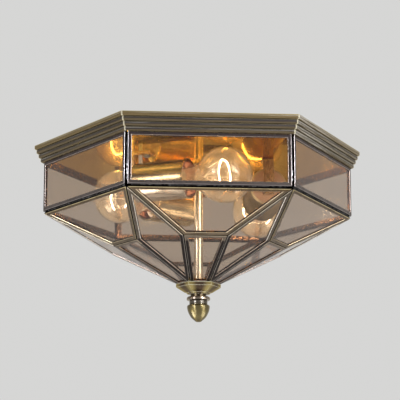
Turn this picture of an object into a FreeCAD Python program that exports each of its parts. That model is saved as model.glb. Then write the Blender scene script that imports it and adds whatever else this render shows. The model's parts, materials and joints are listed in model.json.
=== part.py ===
import FreeCAD, Part
import math
import os

os.makedirs("parts", exist_ok=True)
Vector = FreeCAD.Vector

# Hexagonal flush ceiling lantern of brass channel and clear glass, with three bulbs inside.
# Millimetres. The origin is the middle of the ceiling plane, and the lantern hangs below it.
# Corners of every hexagon lie on the X axis, so a flat face looks toward -Y.

# Plan
side_count = 6
lamp_count = 3

# Brass channel that holds each pane
cage_corner_radius = 174.0
channel_width = 4.2
channel_lip = 0.55
channel_face = 0.95
channel_outer_round = 1.1
channel_window_flat = 0.25
glass_thickness = 2.0
glass_play = 0.05
glass_bite = 2.0
glass_edge_gap = 0.2
solder_leg = 1.4
solder_end_gap = 4.0

# Levels and outline of the glass cage
side_height = 55.6
rail_below_waist = 39.8
rail_apothem = 94.15
rail_half_length = 22.9
tip_corner_radius = 20.0

# Ceiling pan and the stepped cornice round it
pan_depth = 18.6
pan_sheet = 1.0
cage_gap = 0.3
cornice_height = 19.4
reed_count = 4
lowest_reed_projection = 2.1
reed_step = 2.03
reed_foot_flat = 0.3
reed_groove_height = 0.5
reed_groove_depth = 0.7

# Cap under the cage, where the panes meet
cap_corner_radius = 24.9
cap_rim_to_edge = 8.2
cap_plateau_drop = 1.2
cap_bevel_height = 6.0
cap_bevel_corner_radius = 15.0
cap_lip_height = 1.8
cap_lip_corner_radius = 13.8
cap_lip_foot_corner_radius = 12.2
cap_neck_radius = 8.6
cap_neck_height = 2.4
cap_hub_radius = 7.2
cap_hub_rise = 4.0
cap_bore_gap = 0.4

# Finial that screws on the rod below the cap
washer_radius = 12.9
washer_thickness = 3.7
washer_top_round = 1.7
washer_edge_round = 0.4
collar_radius = 10.0
collar_height = 4.4
collar_round = 0.9
knob_neck_radius = 9.3
knob_neck_height = 0.5
knob_radius = 12.6
knob_height = 19.0
knob_shoulder = 2.2
knob_bore_spare = 1.5
knob_side_shares = ((0.985, 0.12), (0.925, 0.3), (0.8, 0.51), (0.58, 0.75), (0.3, 0.93))

# Rod from the ceiling strap to the finial
rod_radius = 5.0
rod_wall = 1.6
rod_top_gap = 3.0
rod_in_knob = 10.0
rod_play = 0.05
nut_across_flats = 14.0
nut_height = 3.5
rod_washer_radius = 10.5
rod_washer_thickness = 1.2

# Strap on the ceiling
strap_half_length = 62.0
strap_width = 20.0
strap_thickness = 2.0
strap_drop = 7.0
strap_shelf_half_length = 30.0
strap_bend_run = 7.0
strap_bolt_half_spacing = 45.0
strap_bolt_hole_radius = 2.6

# Lamps in a pinwheel round the rod
lamp_offset = 74.0
bulb_below_pan = 2.2
first_lamp_azimuth = -30.0
lamp_swivels = (2.0, 7.0, 0.0)
lamp_droops = (0.0, 0.0, 4.0)
sleeve_gap = 2.1
sleeve_wall = 0.9
sleeve_back = -39.5
sleeve_length = 63.0
sleeve_back_round = 2.6
sleeve_rim_radius = 1.0
strip_side = 0.85
strip_thickness = 2.0
strip_below_axis = 9.5
strip_foot_past_screw = 2.7
strip_bend_radius = 1.5
foot_screw_gap = 1.1
nipple_radius = 5.0
nipple_wall = 1.5
nipple_in_holder = 7.0
fixing_gap = 0.15

# Lampholder and bulb
holder_back_from_disc = 8.1
holder_wall = 3.5
holder_length = 43.0
holder_base = 17.0
holder_bore_gap = 0.2
holder_edge_round = 1.5
shell_play = 0.4
shell_wall = 0.8
shell_length = 24.0
contact_radius = 3.5
contact_height = 2.7
bulb_radius = 30.0
bulb_length = 105.0
bulb_glass = 0.8
bulb_contact_gap = 0.3
bulb_neck_gap = 0.6
bulb_neck_straight_share = 0.26
bulb_neck_in_cap = 8.0
bulb_cap_length = 26.0
bulb_cap_radius = 13.1
bulb_thread_pitch = 3.63
bulb_thread_depth = 0.7
bulb_cap_wall = 0.4
bulb_cap_mouth = 1.6
bulb_insulator_height = 3.4
bulb_contact_radius = 4.8
bulb_contact_height = 1.4
stem_play = 0.05
stem_radius = 3.2
stem_length = 34.0
filament_loop_radius = 16.5
filament_radius = 0.45
filament_arc = 290.0
lead_wire_radius = 0.35
support_wire_count = 4

# Leads and connectors above the pan
lead_radius = 2.2
lead_hole_gap = 0.6
lead_from_disc = 4.8
lead_above_axis = 12.0
lead_bend_share = 0.95
connector_length = 16.0
connector_width = 14.0
connector_gap = 0.6
connector_reach = 38.0

# Small screws
screw_radius = 2.0
screw_head_radius = 3.8
screw_head_height = 2.2
screw_head_round = 1.0
screw_past_nut = 0.8
screw_nut_across_flats = 7.0
screw_nut_height = 3.2
earth_screw_place = -22.0

# Tool overrun for every cut
overrun = 2.0

# Worked out from the sizes above
full_turn = 360.0
half_turn = full_turn / 2
right_angle = full_turn / 4
sector = full_turn / side_count
half_sector_cosine = math.cos(math.pi / side_count)
up = Vector(0, 0, 1)
origin = Vector(0, 0, 0)

channel_slot = glass_thickness + 2 * glass_play
channel_depth = channel_lip + channel_slot + channel_face
channel_window_round = channel_face - channel_window_flat
inner_corner_radius = cage_corner_radius - channel_depth / half_sector_cosine
cage_apothem = cage_corner_radius * half_sector_cosine
pan_apothem = cage_apothem + cage_gap
pan_underside = -pan_depth
pan_topside = pan_underside + pan_sheet
cage_top = pan_underside - cage_gap
waist_level = cage_top - side_height
rail_level = waist_level - rail_below_waist
reed_round = lowest_reed_projection - reed_foot_flat

# The kite panes are flat, so the level of their tips follows from their slope
kite_middle_radius = (rail_apothem * half_sector_cosine
                      + rail_half_length * math.sin(math.pi / side_count))
kite_slope = (waist_level - rail_level) / (inner_corner_radius - kite_middle_radius)
tip_level = rail_level - kite_slope * (kite_middle_radius - tip_corner_radius)

cap_rim_level = rail_level - kite_slope * (kite_middle_radius - cap_corner_radius)
cap_edge_level = cap_rim_level - cap_rim_to_edge
cap_bevel_level = cap_edge_level - cap_bevel_height
cap_lip_level = cap_bevel_level - cap_lip_height
cap_bottom = cap_lip_level - cap_neck_height
washer_top = cap_bottom - cage_gap
knob_top = washer_top - washer_thickness - cage_gap
rod_bottom = knob_top - rod_in_knob
rod_top = -rod_top_gap
knob_bore_depth = rod_in_knob + knob_bore_spare

# The lamps, from the bulb's screw cap outward
bulb_cap_bore = bulb_cap_radius - bulb_thread_depth - bulb_cap_wall
bulb_neck_radius = bulb_cap_bore - bulb_neck_gap
shell_radius = bulb_cap_radius + shell_play + shell_wall
holder_bore_radius = shell_radius + holder_bore_gap
holder_radius = holder_bore_radius + holder_wall
sleeve_radius = holder_radius + sleeve_gap + sleeve_wall
lamp_axis_level = pan_underside - bulb_below_pan - bulb_radius
sleeve_mouth = sleeve_back + sleeve_length
holder_back = sleeve_back + sleeve_wall + holder_back_from_disc
holder_bore_bottom = holder_back + holder_base
contact_face = holder_bore_bottom + contact_height
bulb_tail = contact_face + bulb_contact_gap
bulb_centre = bulb_tail + bulb_length - bulb_radius
bulb_cap_front = bulb_tail + bulb_cap_length
bulb_thread_start = bulb_tail + bulb_contact_height + bulb_insulator_height
bulb_thread_turns = int((bulb_cap_front - bulb_thread_start) / bulb_thread_pitch)
lead_along_axis = sleeve_back + lead_from_disc
lead_hole_radius = lead_radius + lead_hole_gap
connector_height = -strap_drop - strap_thickness - connector_gap - pan_topside
lead_level = pan_topside + connector_height / 2
strip_width = 2 * (nipple_radius + fixing_gap + strip_side)
strip_back = sleeve_back - strip_thickness
strip_foot_underside = pan_underside - strip_thickness

# Places that every lamp shares before it is turned
foot_screw_along = lead_along_axis + lead_hole_radius + foot_screw_gap + screw_head_radius
foot_screw = Vector(foot_screw_along, -lamp_offset, 0)
strip_bend = Vector(sleeve_back + strip_bend_radius, -lamp_offset,
                    strip_foot_underside - strip_bend_radius)
across_lamp = Vector(0, 1, 0)


# Plain geometry helpers

def on_circle(centre_u, centre_v, radius, angle):
    """A point on a circle in a flat drawing."""
    turn = math.radians(angle)
    return (centre_u + radius * math.cos(turn), centre_v + radius * math.sin(turn))


def outline_face(steps, place):
    """A face from a closed outline. A step is a point, or a middle and an end point of an arc."""
    edges = []
    here = place(*steps[0])
    for step in list(steps[1:]) + [steps[0]]:
        if isinstance(step[0], tuple):
            middle, end = place(*step[0]), place(*step[1])
            edges.append(Part.Arc(here, middle, end).toShape())
            here = end
        else:
            end = place(*step)
            if (end - here).Length > 0:
                edges.append(Part.makeLine(here, end))
            here = end
    return Part.Face(Part.Wire(edges))


def section_point(radius, level):
    """A point of an outline of radius and level."""
    return Vector(radius, 0, level)


def turned(steps):
    """A solid of revolution about the Z axis, from an outline of radius and level."""
    return outline_face(steps, section_point).revolve(origin, up, full_turn)


def lamp_turned(steps):
    """A solid of revolution about a lamp's axis, from an outline of place along it and radius."""
    axis_point = Vector(0, -lamp_offset, lamp_axis_level)
    face = outline_face(steps, lambda along, radius: axis_point + Vector(along, 0, radius))
    return face.revolve(axis_point, Vector(1, 0, 0), full_turn)


def cylinder(radius, low, high, x=0, y=0):
    """An upright cylinder between two levels."""
    return Part.makeCylinder(radius, high - low, Vector(x, y, low))


def lamp_cylinder(radius, back, front):
    """A cylinder on a lamp's axis, between two places along it."""
    return Part.makeCylinder(radius, front - back, Vector(back, -lamp_offset, lamp_axis_level),
                             Vector(1, 0, 0))


def polygon_prism(points, height):
    """A prism on a closed polygon, along a vector."""
    return Part.Face(Part.makePolygon(list(points) + [points[0]])).extrude(height)


def hexagon(corner_radius, level):
    """The corners of a level hexagon."""
    return [hex_corner(index, corner_radius, level) for index in range(side_count)]


def hex_corner(index, corner_radius, level):
    """One corner of a level hexagon, counted from +X."""
    angle = math.radians(sector * index)
    return Vector(corner_radius * math.cos(angle), corner_radius * math.sin(angle), level)


def hex_frustum(low_corner_radius, low, high_corner_radius, high):
    """A hexagonal block that tapers from one level to another."""
    wires = []
    for corner_radius, level in ((low_corner_radius, low), (high_corner_radius, high)):
        points = hexagon(corner_radius, level)
        wires.append(Part.makePolygon(points + [points[0]]))
    return Part.makeLoft(wires, True, True)


def hex_nut(across_flats, low, high, bore_radius):
    """An upright hexagon nut on the Z axis."""
    corner_radius = across_flats / 2 / half_sector_cosine
    body = hex_frustum(corner_radius, low, corner_radius, high)
    return body.cut(cylinder(bore_radius, low - overrun, high + overrun))


def write(name, shapes):
    """Write one named sub-part, which may be a group of like solids."""
    solids = shapes if isinstance(shapes, list) else [shapes]
    shape = solids[0] if len(solids) == 1 else Part.makeCompound(solids)
    shape.exportStep("parts/" + name + ".step")


# The cage as flat facets. The points lie on its inner faces, counter-clockwise seen from outside.

def rail_point(face, side):
    """An end of the short rail on one face: side is -1 or 1."""
    angle = math.radians(sector * face + sector / 2)
    outward = Vector(math.cos(angle), math.sin(angle), 0)
    along = Vector(-math.sin(angle), math.cos(angle), 0)
    return outward * rail_apothem + along * (side * rail_half_length) + up * rail_level


def side_facet(face):
    return [hex_corner(face, inner_corner_radius, waist_level),
            hex_corner(face + 1, inner_corner_radius, waist_level),
            hex_corner(face + 1, inner_corner_radius, cage_top),
            hex_corner(face, inner_corner_radius, cage_top)]


def upper_facet(face):
    return [rail_point(face, -1),
            rail_point(face, 1),
            hex_corner(face + 1, inner_corner_radius, waist_level),
            hex_corner(face, inner_corner_radius, waist_level)]


def kite_facet(corner):
    return [hex_corner(corner, tip_corner_radius, tip_level),
            rail_point(corner, -1),
            hex_corner(corner, inner_corner_radius, waist_level),
            rail_point(corner - 1, 1)]


def lower_facet(face):
    return [hex_corner(face, tip_corner_radius, tip_level),
            hex_corner(face + 1, tip_corner_radius, tip_level),
            rail_point(face, 1),
            rail_point(face, -1)]


def facet_normal(points):
    """The outward direction of a facet."""
    normal = (points[1] - points[0]).cross(points[2] - points[1])
    return normal.normalize()


def inward_direction(points, index, normal):
    """The direction from one side of a facet toward its middle."""
    direction = points[(index + 1) % len(points)] - points[index]
    return normal.cross(direction.normalize())


def inset_point(points, index, normal, distance):
    """A corner of the facet, moved in by the same distance from both of its sides."""
    before = inward_direction(points, index - 1 if index else len(points) - 1, normal)
    after = inward_direction(points, index, normal)
    return points[index] + (before + after) * (distance / (1 + before.dot(after)))


def mitred_bars(points, normal, steps, inner_reach, outer_reach, depth_reach):
    """One bar along each side of a facet, mitred at the corners, from an outline of its section.

    The outline is drawn with its first measure in from the side and its second along the normal.
    """
    bars = []
    count = len(points)
    for index in range(count):
        after = (index + 1) % count
        start, end = points[index], points[after]
        direction = (end - start).normalize()
        inward = normal.cross(direction)
        run_out = direction * (outer_reach + overrun)
        origin_point = start - run_out
        section = outline_face(steps, lambda u, v: origin_point + inward * u + normal * v)
        prism = section.extrude(end - start + run_out * 2)
        near, far = -outer_reach - overrun, inner_reach + overrun
        footprint = [inset_point(points, index, normal, near), inset_point(points, after, normal, near),
                     inset_point(points, after, normal, far), inset_point(points, index, normal, far)]
        low, high = depth_reach
        tool = polygon_prism([point + normal * (low - overrun) for point in footprint],
                             normal * (high - low + 2 * overrun))
        bars.extend(prism.common(tool).Solids)
    return bars


# Sub-parts of the glass cage

def channel_section():
    """U-shaped brass channel: a groove for the glass inside, rounded edges outside."""
    slot_top = channel_lip + channel_slot
    return [(0, 0),
            (channel_width, 0),
            (channel_width, channel_lip),
            (channel_width - glass_bite - glass_edge_gap, channel_lip),
            (channel_width - glass_bite - glass_edge_gap, slot_top),
            (channel_width, slot_top),
            (channel_width, channel_depth - channel_window_round),
            (on_circle(channel_width - channel_window_round, channel_depth - channel_window_round,
                       channel_window_round, right_angle / 2),
             (channel_width - channel_window_round, channel_depth)),
            (channel_outer_round, channel_depth),
            (on_circle(channel_outer_round, channel_depth - channel_outer_round,
                       channel_outer_round, right_angle * 3 / 2),
             (0, channel_depth - channel_outer_round))]


def channel_frame(points):
    """The mitred channel bars round one pane."""
    return mitred_bars(points, facet_normal(points), channel_section(), channel_width, 0,
                       (0, channel_depth))


def glass_pane(points):
    """One flat pane, its edges in the channel's groove."""
    normal = facet_normal(points)
    edge = channel_width - glass_bite
    lift = normal * (channel_lip + glass_play)
    outline = [inset_point(points, index, normal, edge) + lift for index in range(len(points))]
    return polygon_prism(outline, normal * glass_thickness)


def facet_slab(points):
    """The whole space that one pane and its frame take up."""
    return polygon_prism(points, facet_normal(points) * channel_depth)


def groove_wedge(start, end, normal_a, normal_b, leg):
    """A wedge in the groove between two facets that meet along an edge."""
    return polygon_prism([start, start + normal_a * leg, start + normal_b * leg], end - start)


def cage_edges():
    """Every edge where two facets meet: its ends and the two facets' directions."""
    edges = []
    for index in range(side_count):
        before = index - 1
        side_normal = facet_normal(side_facet(index))
        upper_normal = facet_normal(upper_facet(index))
        lower_normal = facet_normal(lower_facet(index))
        kite_normal = facet_normal(kite_facet(index))
        waist_corner = hex_corner(index, inner_corner_radius, waist_level)
        next_waist_corner = hex_corner(index + 1, inner_corner_radius, waist_level)
        top_corner = hex_corner(index, inner_corner_radius, cage_top)
        tip = hex_corner(index, tip_corner_radius, tip_level)
        edges.append((waist_corner, top_corner, side_normal, facet_normal(side_facet(before))))
        edges.append((waist_corner, next_waist_corner, side_normal, upper_normal))
        edges.append((rail_point(index, -1), rail_point(index, 1), upper_normal, lower_normal))
        edges.append((rail_point(index, -1), waist_corner, upper_normal, kite_normal))
        edges.append((rail_point(before, 1), waist_corner, facet_normal(upper_facet(before)), kite_normal))
        edges.append((tip, rail_point(index, -1), lower_normal, kite_normal))
        edges.append((tip, rail_point(before, 1), facet_normal(lower_facet(before)), kite_normal))
    return edges


def solder_seams():
    """Solder in the bottom of the grooves between the frames, clear of the cap."""
    seams = []
    for start, end, normal_a, normal_b in cage_edges():
        direction = (end - start).normalize()
        low_gap = solder_end_gap
        if math.hypot(start.x, start.y) < cap_corner_radius:
            low_gap = solder_end_gap + cap_corner_radius - tip_corner_radius
        seams.append(groove_wedge(start + direction * low_gap, end - direction * solder_end_gap,
                                  normal_a, normal_b, solder_leg))
    return seams


def cage_cap():
    """Cast hexagonal cap: the tips of the frames lie in it, and the rod passes through it."""
    plateau = tip_level - cap_plateau_drop
    body = hex_frustum(cap_corner_radius, cap_edge_level, cap_corner_radius, plateau)
    for index in range(side_count):
        body = body.cut(facet_slab(kite_facet(index)))
        body = body.cut(facet_slab(lower_facet(index)))
    for start, end, normal_a, normal_b in cage_edges():
        if math.hypot(start.x, start.y) < cap_corner_radius:
            body = body.cut(groove_wedge(start, end, normal_a, normal_b, channel_depth))
    body = body.fuse(hex_frustum(cap_bevel_corner_radius, cap_bevel_level,
                                 cap_corner_radius, cap_edge_level))
    body = body.fuse(hex_frustum(cap_lip_foot_corner_radius, cap_lip_level,
                                 cap_lip_corner_radius, cap_bevel_level))
    body = body.fuse(cylinder(cap_neck_radius, cap_bottom, cap_lip_level))
    body = body.fuse(cylinder(cap_hub_radius, cap_edge_level, plateau + cap_hub_rise))
    bore = cylinder(rod_radius + cap_bore_gap, cap_bottom - overrun, plateau + cap_hub_rise + overrun)
    return body.cut(bore).removeSplitter().Solids[0]


# Finial

def finial_washer():
    """Domed washer between the cap and the knob."""
    bore = rod_radius + cap_bore_gap
    low = washer_top - washer_thickness
    return turned([(bore, low),
                   (washer_radius - washer_edge_round, low),
                   (on_circle(washer_radius - washer_edge_round, low + washer_edge_round,
                              washer_edge_round, -right_angle / 2),
                    (washer_radius, low + washer_edge_round)),
                   (washer_radius, washer_top - washer_top_round),
                   (on_circle(washer_radius - washer_top_round, washer_top - washer_top_round,
                              washer_top_round, right_angle / 2),
                    (washer_radius - washer_top_round, washer_top)),
                   (bore, washer_top)])


def finial_knob():
    """Turned knob: a collar above and an acorn below, with a blind hole for the rod."""
    collar_low = knob_top - collar_height
    acorn_top = collar_low - knob_neck_height
    shoulder_level = acorn_top - knob_shoulder
    tip = acorn_top - knob_height
    collar = turned([(0, collar_low),
                     (collar_radius - collar_round, collar_low),
                     (on_circle(collar_radius - collar_round, collar_low + collar_round,
                                collar_round, -right_angle / 2),
                      (collar_radius, collar_low + collar_round)),
                     (collar_radius, knob_top - collar_round),
                     (on_circle(collar_radius - collar_round, knob_top - collar_round,
                                collar_round, right_angle / 2),
                      (collar_radius - collar_round, knob_top)),
                     (0, knob_top)])
    neck = cylinder(knob_neck_radius, acorn_top, collar_low)
    shoulder_centre = knob_radius - knob_shoulder
    shoulder = Part.Arc(section_point(shoulder_centre, acorn_top),
                        section_point(*on_circle(shoulder_centre, shoulder_level,
                                                 knob_shoulder, right_angle / 2)),
                        section_point(knob_radius, shoulder_level)).toShape()
    side_points = [section_point(knob_radius, shoulder_level)]
    for radius_share, fall_share in knob_side_shares:
        side_points.append(section_point(knob_radius * radius_share,
                                         shoulder_level + (tip - shoulder_level) * fall_share))
    side_points.append(section_point(0, tip))
    side = Part.BSplineCurve()
    side.interpolate(Points=side_points, InitialTangent=-up, FinalTangent=Vector(-1, 0, 0))
    top = Part.makeLine(section_point(0, acorn_top), section_point(shoulder_centre, acorn_top))
    middle = Part.makeLine(section_point(0, tip), section_point(0, acorn_top))
    acorn = Part.Face(Part.Wire([top, shoulder, side.toShape(), middle])).revolve(origin, up, full_turn)
    hole = cylinder(rod_radius + rod_play, knob_top - knob_bore_depth, knob_top + overrun)
    return collar.fuse(neck).fuse(acorn).cut(hole).removeSplitter().Solids[0]


# Ceiling pan, cornice, strap and rod

def ceiling_pan():
    """Hexagonal tray with its open side to the ceiling."""
    outer_radius = pan_apothem / half_sector_cosine
    inner_radius = (pan_apothem - pan_sheet) / half_sector_cosine
    tray = hex_frustum(outer_radius, pan_underside, outer_radius, 0)
    tray = tray.cut(hex_frustum(inner_radius, pan_topside, inner_radius, overrun))
    low, high = pan_underside - overrun, pan_topside + overrun
    tray = tray.cut(cylinder(rod_radius + fixing_gap, low, high))
    for lamp in range(lamp_count):
        lead_hole = cylinder(lead_hole_radius, low, high, lead_along_axis, -lamp_offset)
        screw_hole = cylinder(screw_radius + fixing_gap, low, high, foot_screw.x, foot_screw.y)
        for tool in (lead_hole, screw_hole):
            tray = tray.cut(swivelled(tool, lamp))
    return tray


def cornice_section():
    """Stepped section of four reeds, each with a round foot and a thin groove under it.

    It is drawn inward from the pan's wall, so the reeds stand out to the negative side.
    """
    reed_height = cornice_height / reed_count
    steps = [(0, 0)]
    for reed in range(reed_count):
        projection = lowest_reed_projection + reed_step * (reed_count - 1 - reed)
        top, foot = -reed_height * reed, -reed_height * (reed + 1)
        if reed:
            steps.append((-projection + reed_groove_depth, top))
            steps.append((-projection + reed_groove_depth, top - reed_groove_height))
            steps.append((-projection, top - reed_groove_height))
        else:
            steps.append((-projection, top))
        steps.append((-projection, foot + reed_round))
        steps.append((on_circle(-projection + reed_round, foot + reed_round,
                                reed_round, half_turn + right_angle / 2),
                      (-projection + reed_round, foot)))
    steps.append((0, foot))
    return steps


def cornice():
    """Six mitred lengths of the stepped moulding round the pan."""
    points = hexagon(pan_apothem / half_sector_cosine, 0)
    reach = lowest_reed_projection + reed_step * (reed_count - 1)
    return mitred_bars(points, up, cornice_section(), 0, reach, (-cornice_height, 0))


def ceiling_strap():
    """Hat-shaped steel strap that is bolted to the ceiling."""
    bend_end = strap_shelf_half_length + strap_bend_run
    top_line = [(-strap_half_length, 0), (-bend_end, 0), (-strap_shelf_half_length, -strap_drop),
                (strap_shelf_half_length, -strap_drop), (bend_end, 0), (strap_half_length, 0)]
    bottom_line = [(x, z - strap_thickness) for x, z in reversed(top_line)]
    face = outline_face(top_line + bottom_line, lambda x, z: Vector(x, -strap_width / 2, z))
    strap = face.extrude(Vector(0, strap_width, 0))
    strap = strap.cut(cylinder(rod_radius + fixing_gap, -strap_drop - strap_thickness - overrun, overrun))
    for x in (-strap_bolt_half_spacing, strap_bolt_half_spacing):
        strap = strap.cut(cylinder(strap_bolt_hole_radius, -strap_thickness - overrun, overrun, x))
    earth_hole = cylinder(screw_radius + fixing_gap, -strap_drop - strap_thickness - overrun,
                          overrun, earth_screw_place)
    return strap.cut(earth_hole)


def centre_rod():
    """Brass tube that carries the pan and, through the finial, the cage."""
    rod = cylinder(rod_radius, rod_bottom, rod_top)
    return rod.cut(cylinder(rod_radius - rod_wall, rod_bottom - overrun, rod_top + overrun))


def rod_nuts():
    """Nuts above and below the strap, and a washer and nut under the pan."""
    bore = rod_radius + rod_play
    strap_low = -strap_drop - strap_thickness
    washer_low = pan_underside - rod_washer_thickness
    washer = cylinder(rod_washer_radius, washer_low, pan_underside)
    washer = washer.cut(cylinder(bore, washer_low - overrun, pan_underside + overrun))
    return [hex_nut(nut_across_flats, -strap_drop, -strap_drop + nut_height, bore),
            hex_nut(nut_across_flats, strap_low - nut_height, strap_low, bore),
            washer,
            hex_nut(nut_across_flats, washer_low - nut_height, washer_low, bore)]


# Lamps. Each is drawn level with its axis along +X, and then set in its place in the pinwheel.
# Every lamp hangs from one foot screw, so it swivels a little, and its strip lets it droop a little.

def lamp_azimuth(lamp):
    """The even direction of one lamp."""
    return first_lamp_azimuth - full_turn / lamp_count * lamp


def swivelled(shape, lamp):
    """A copy of a piece that stays level: swivelled on the foot screw and turned to its place."""
    piece = shape.copy()
    piece.rotate(foot_screw, up, lamp_swivels[lamp])
    return piece.rotate(origin, up, lamp_azimuth(lamp))


def set_in_place(shape, lamp):
    """A copy of a piece that droops with the strip's leg, set in its place."""
    piece = shape.copy()
    return swivelled(piece.rotate(strip_bend, across_lamp, lamp_droops[lamp]), lamp)


def drooped_point(point, lamp):
    """Where a point of a level lamp goes when the lamp droops."""
    return strip_bend + FreeCAD.Rotation(across_lamp, lamp_droops[lamp]).multVec(point - strip_bend)


def swivelled_point(point, lamp):
    """Where a point of a level lamp goes when the lamp swivels on its foot screw."""
    return foot_screw + FreeCAD.Rotation(up, lamp_swivels[lamp]).multVec(point - foot_screw)


def lamp_strip(lamp):
    """Flat brass strip: a foot under the pan and a leg down to the back of the sleeve."""
    foot_end = foot_screw.x + screw_head_radius + strip_foot_past_screw
    leg_length = strip_bend.z - lamp_axis_level + strip_below_axis
    outer = strip_bend_radius + strip_thickness
    lean = math.radians(lamp_droops[lamp])
    leg_run, leg_fall = -leg_length * math.sin(lean), -leg_length * math.cos(lean)
    leg_angle = half_turn - lamp_droops[lamp]
    middle_angle = (right_angle + leg_angle) / 2
    inner_top = on_circle(strip_bend.x, strip_bend.z, strip_bend_radius, leg_angle)
    outer_top = on_circle(strip_bend.x, strip_bend.z, outer, leg_angle)
    steps = [(outer_top[0] + leg_run, outer_top[1] + leg_fall),
             (inner_top[0] + leg_run, inner_top[1] + leg_fall),
             inner_top,
             (on_circle(strip_bend.x, strip_bend.z, strip_bend_radius, middle_angle),
              (strip_bend.x, strip_foot_underside)),
             (foot_end, strip_foot_underside),
             (foot_end, pan_underside),
             (strip_bend.x, pan_underside),
             (on_circle(strip_bend.x, strip_bend.z, outer, middle_angle), outer_top)]
    start = -lamp_offset - strip_width / 2
    strip = outline_face(steps, lambda along, level: Vector(along, start, level))
    strip = strip.extrude(Vector(0, strip_width, 0))
    nipple_hole = lamp_cylinder(nipple_radius + fixing_gap, strip_back - overrun, sleeve_back + overrun)
    strip = strip.cut(nipple_hole.rotate(strip_bend, across_lamp, lamp_droops[lamp]))
    low, high = strip_foot_underside - overrun, pan_underside + overrun
    screw_hole = cylinder(screw_radius + fixing_gap, low, high, foot_screw.x, foot_screw.y)
    lead_hole = cylinder(lead_hole_radius, low, high, lead_along_axis, -lamp_offset)
    return strip.cut(screw_hole).cut(lead_hole)


def lamp_sleeve():
    """Brass cup round the lampholder, with a round back edge and a rolled rim at its mouth."""
    inner = sleeve_radius - sleeve_wall
    rim_centre = sleeve_mouth - sleeve_rim_radius
    inner_round = sleeve_back_round - sleeve_wall
    hole = nipple_radius + fixing_gap
    steps = [(sleeve_back, hole),
             (sleeve_back, sleeve_radius - sleeve_back_round),
             (on_circle(sleeve_back + sleeve_back_round, sleeve_radius - sleeve_back_round,
                        sleeve_back_round, half_turn - right_angle / 2),
              (sleeve_back + sleeve_back_round, sleeve_radius)),
             (rim_centre - sleeve_rim_radius, sleeve_radius),
             (on_circle(rim_centre, sleeve_radius, sleeve_rim_radius, right_angle),
              (sleeve_mouth, sleeve_radius)),
             (sleeve_mouth, inner),
             (sleeve_back + sleeve_back_round, inner),
             (on_circle(sleeve_back + sleeve_back_round, inner - inner_round,
                        inner_round, half_turn - right_angle / 2),
              (sleeve_back + sleeve_wall, inner - inner_round)),
             (sleeve_back + sleeve_wall, hole)]
    sleeve = lamp_turned(steps)
    lead_hole = cylinder(lead_hole_radius, lamp_axis_level + inner - inner_round,
                         lamp_axis_level + sleeve_radius + overrun, lead_along_axis, -lamp_offset)
    return sleeve.cut(lead_hole)


def lamp_fixings():
    """Threaded nipple through strip, sleeve and holder, and its nut inside the sleeve."""
    nipple = lamp_cylinder(nipple_radius, strip_back, holder_back + nipple_in_holder)
    bore = lamp_cylinder(nipple_radius - nipple_wall, strip_back - overrun,
                         holder_back + nipple_in_holder + overrun)
    disc_face = sleeve_back + sleeve_wall
    corner_radius = nut_across_flats / 2 / half_sector_cosine
    flat_ring = [Vector(disc_face, -lamp_offset + point.x, lamp_axis_level + point.y)
                 for point in hexagon(corner_radius, 0)]
    nut = polygon_prism(flat_ring, Vector(nut_height, 0, 0))
    nut = nut.cut(lamp_cylinder(nipple_radius + rod_play, disc_face - overrun,
                                disc_face + nut_height + overrun))
    return [nipple.cut(bore), nut]


def lamp_holder():
    """Ceramic lampholder: a round block with a deep bore for the screw shell."""
    front = holder_back + holder_length
    hole_bottom = holder_back + nipple_in_holder + rod_play
    steps = [(holder_back, nipple_radius + rod_play),
             (holder_back, holder_radius - holder_edge_round),
             (on_circle(holder_back + holder_edge_round, holder_radius - holder_edge_round,
                        holder_edge_round, half_turn - right_angle / 2),
              (holder_back + holder_edge_round, holder_radius)),
             (front - holder_edge_round, holder_radius),
             (on_circle(front - holder_edge_round, holder_radius - holder_edge_round,
                        holder_edge_round, right_angle / 2),
              (front, holder_radius - holder_edge_round)),
             (front, holder_bore_radius),
             (holder_bore_bottom, holder_bore_radius),
             (holder_bore_bottom, 0),
             (hole_bottom, 0),
             (hole_bottom, nipple_radius + rod_play)]
    return lamp_turned(steps)


def holder_contacts():
    """Screw shell and centre contact inside the lampholder."""
    shell = lamp_cylinder(shell_radius, holder_bore_bottom, holder_bore_bottom + shell_length)
    inside = lamp_cylinder(shell_radius - shell_wall, holder_bore_bottom - overrun,
                           holder_bore_bottom + shell_length + overrun)
    centre = lamp_cylinder(contact_radius, holder_bore_bottom, contact_face)
    return [shell.cut(inside), centre]


def bulb_envelope():
    """Blown glass: a globe that runs smoothly into a straight neck, open at its end."""
    neck_end = bulb_cap_front - bulb_neck_in_cap
    tip = bulb_centre + bulb_radius
    sharp_corner = bulb_centre - math.sqrt(bulb_radius ** 2 - bulb_neck_radius ** 2)
    blend_centre = bulb_cap_front + (sharp_corner - bulb_cap_front) * bulb_neck_straight_share
    run = bulb_centre - blend_centre
    blend = (run ** 2 + bulb_neck_radius ** 2 - bulb_radius ** 2) / (bulb_radius - bulb_neck_radius) / 2
    rise = bulb_neck_radius + blend
    slope = math.degrees(math.atan2(rise, -run))
    outer = [(neck_end, bulb_neck_radius),
             (blend_centre, bulb_neck_radius),
             (on_circle(blend_centre, rise, blend, (slope - right_angle) / 2 - right_angle),
              on_circle(bulb_centre, 0, bulb_radius, slope)),
             (on_circle(bulb_centre, 0, bulb_radius, slope / 2), (tip, 0))]
    thin = bulb_radius - bulb_glass
    thin_blend = blend + bulb_glass
    inner = [(tip - bulb_glass, 0),
             (on_circle(bulb_centre, 0, thin, slope / 2), on_circle(bulb_centre, 0, thin, slope)),
             (on_circle(blend_centre, rise, thin_blend, (slope - right_angle) / 2 - right_angle),
              (blend_centre, bulb_neck_radius - bulb_glass)),
             (neck_end, bulb_neck_radius - bulb_glass)]
    return lamp_turned(outer + inner)


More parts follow.
